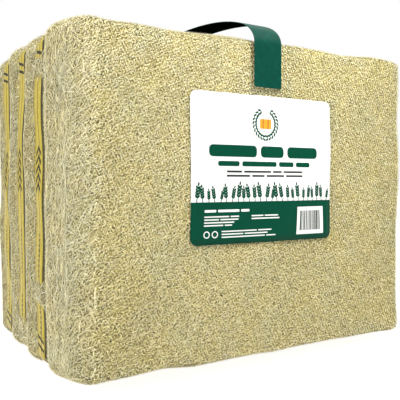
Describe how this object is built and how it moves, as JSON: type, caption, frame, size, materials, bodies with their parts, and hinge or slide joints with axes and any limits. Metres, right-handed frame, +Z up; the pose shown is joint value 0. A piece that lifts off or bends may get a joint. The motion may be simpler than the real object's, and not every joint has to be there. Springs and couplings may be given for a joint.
{
  "type": "square straw bale",
  "caption": "Rounded block of pressed chopped straw, strapped and wrapped in clear film, with a front label and a tape carry handle over the top.",
  "frame": {"origin": "on the ground, under the middle of the bale", "axes": "+X along the bale's long side, +Z up, the wide labelled face looks to -Y, and the straps run round the ends, the top and the underside"},
  "size_m": [0.5318, 0.3928, 0.4495],
  "materials": {
    "straw": "chopped straw pressed flat, matte, pale gold with darker gaps",
    "strap": "flat mustard yellow plastic strap, satin, with dark printed marks",
    "clear_film": "clear shrink film, glossy, with fine tension wrinkles",
    "label_print": "white printed film label with a dark green band, satin",
    "handle_tape": "dark green plastic tape, satin"
  },
  "bodies": {
    "root": {"straw_block": "straw", "strap_front": "strap", "strap_middle": "strap", "strap_back": "strap", "film_wrap": "clear_film", "label": "label_print", "carry_handle": "handle_tape"}
  },
  "joints": []
}
